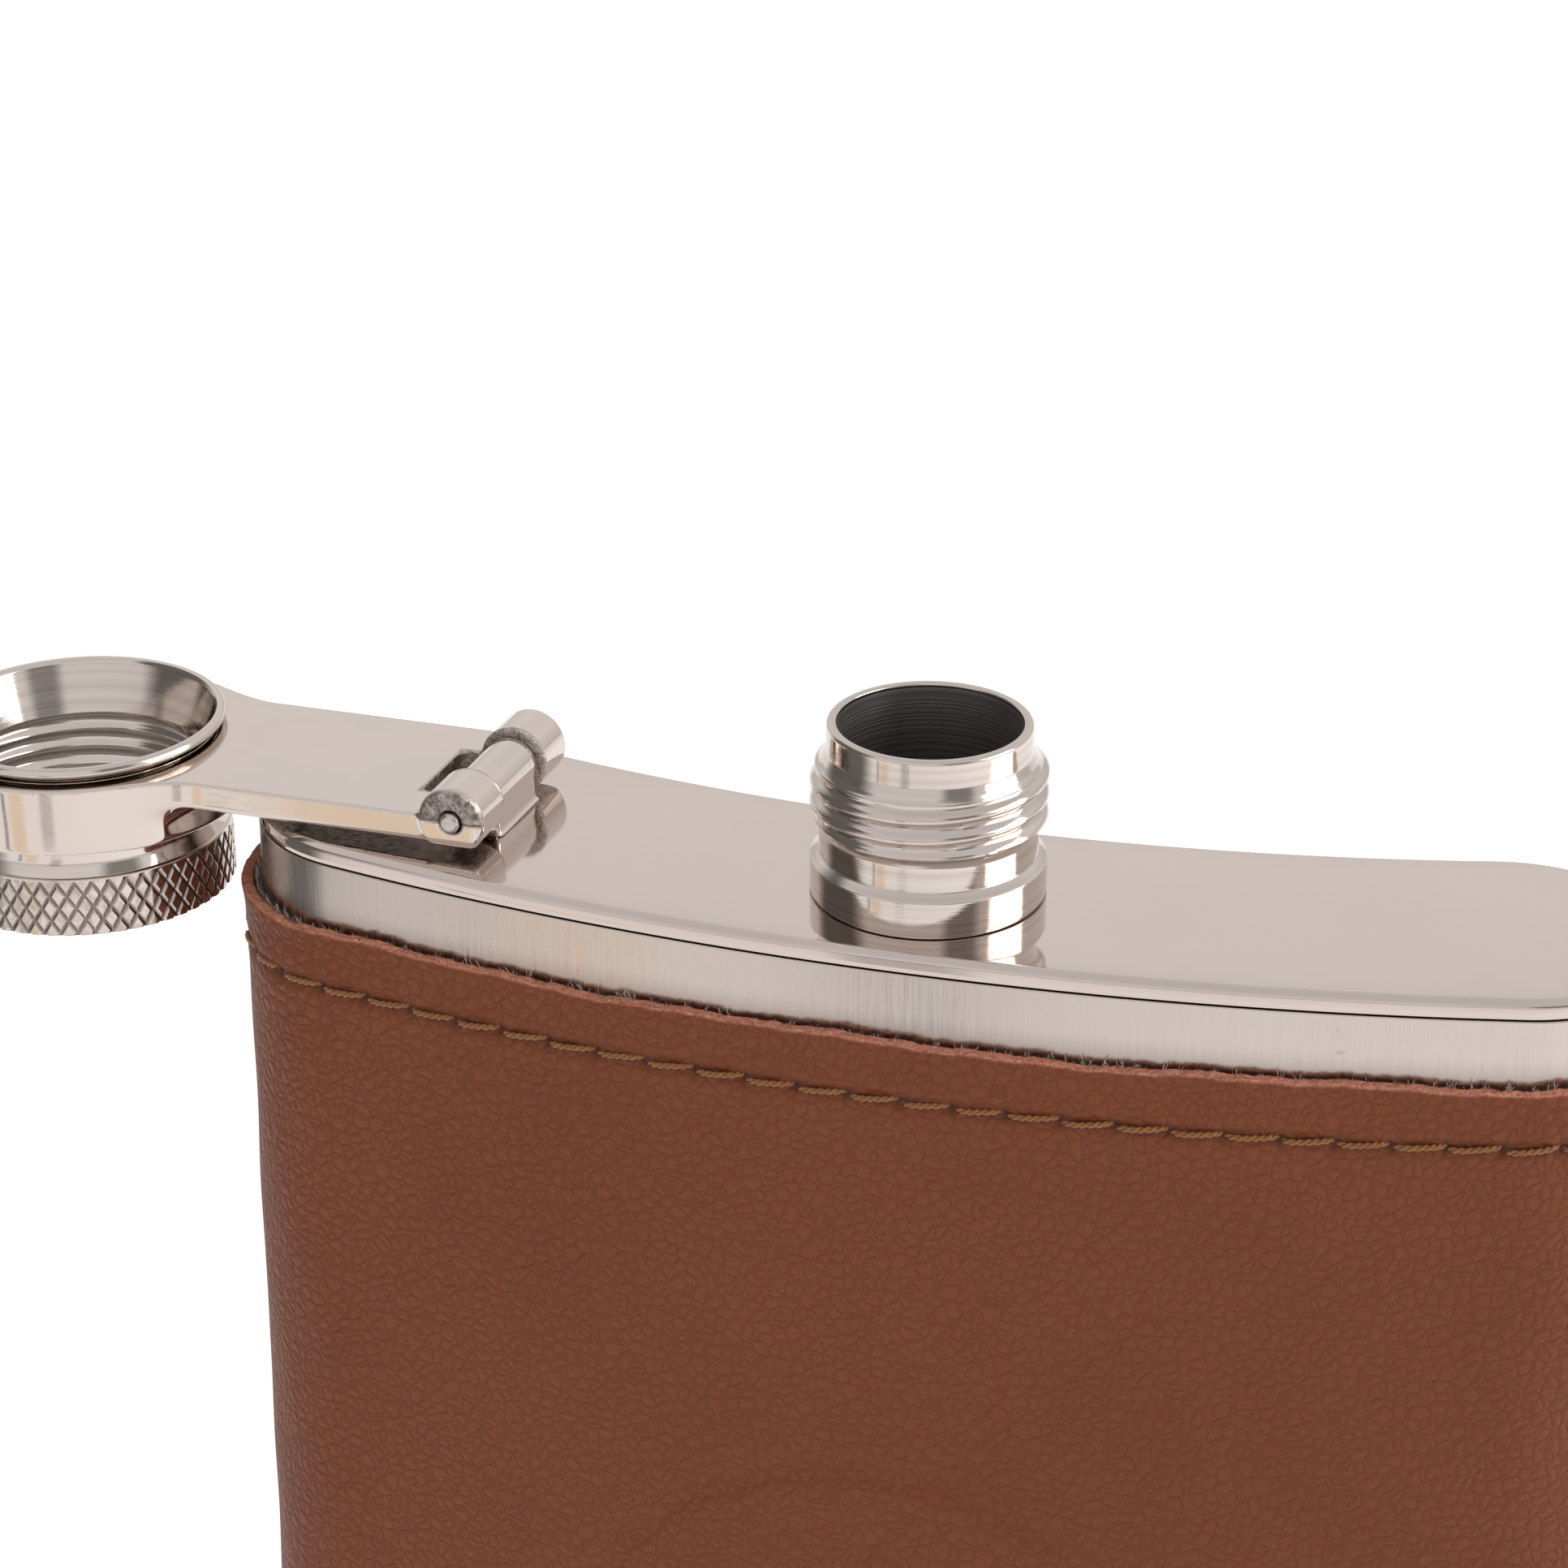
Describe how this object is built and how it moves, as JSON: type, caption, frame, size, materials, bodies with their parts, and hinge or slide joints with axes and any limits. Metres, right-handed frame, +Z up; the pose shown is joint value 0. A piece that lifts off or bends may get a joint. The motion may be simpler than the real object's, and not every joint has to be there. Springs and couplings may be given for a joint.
{
  "type": "hip flask",
  "caption": "Curved stainless steel hip flask in a stitched leather wrap, with a threaded neck and a captive screw cap on a hinged arm, drawn with the lid open.",
  "frame": {"origin": "on the base face, straight below the axis of the neck", "axes": "+Z up along the neck's axis, +X along the width of the flask away from the hinge, -Y out of the bulging front face"},
  "size_m": [0.1223, 0.0287, 0.1318],
  "materials": {
    "brushed_body": "brushed lengthwise",
    "polished_plate": "mirror polished",
    "turned_steel": "turned and polished",
    "polished_casting": "cast and polished",
    "knurled_steel": "diamond knurled",
    "pin_steel": "drawn wire, satin",
    "gasket": "soft white seal",
    "leather": "pebbled grain, satin",
    "backing": "woven, frayed at the cut edge",
    "thread": "twisted sewing thread"
  },
  "bodies": {
    "flask": {"body_wall": "brushed_body", "top_plate": "polished_plate", "base_plate": "polished_plate", "neck": "turned_steel", "hinge_bracket": "polished_casting", "hinge_pin": "pin_steel", "leather_backing": "backing", "leather_wrap": "leather", "top_stitching": "thread", "bottom_stitching": "thread", "back_seam_stitching": "thread"},
    "arm": {"lid_arm": "polished_casting"},
    "cap": {"cap_head": "knurled_steel", "cap_sleeve": "turned_steel", "cap_gasket": "gasket"}
  },
  "joints": [
    {"name": "lid_hinge", "type": "hinge", "parent": "flask", "child": "arm", "pos_m": [-0.03084, 0.00194, 0.1225], "axis": [0.0628, 0.998, 0], "range_deg": [0, 181.2]},
    {"name": "cap_spin", "type": "hinge", "parent": "arm", "child": "cap", "pos_m": [-0.06168, 0.00388, 0.12212], "axis": [-0.0209, 0.0013, 0.9998], "continuous": true}
  ]
}
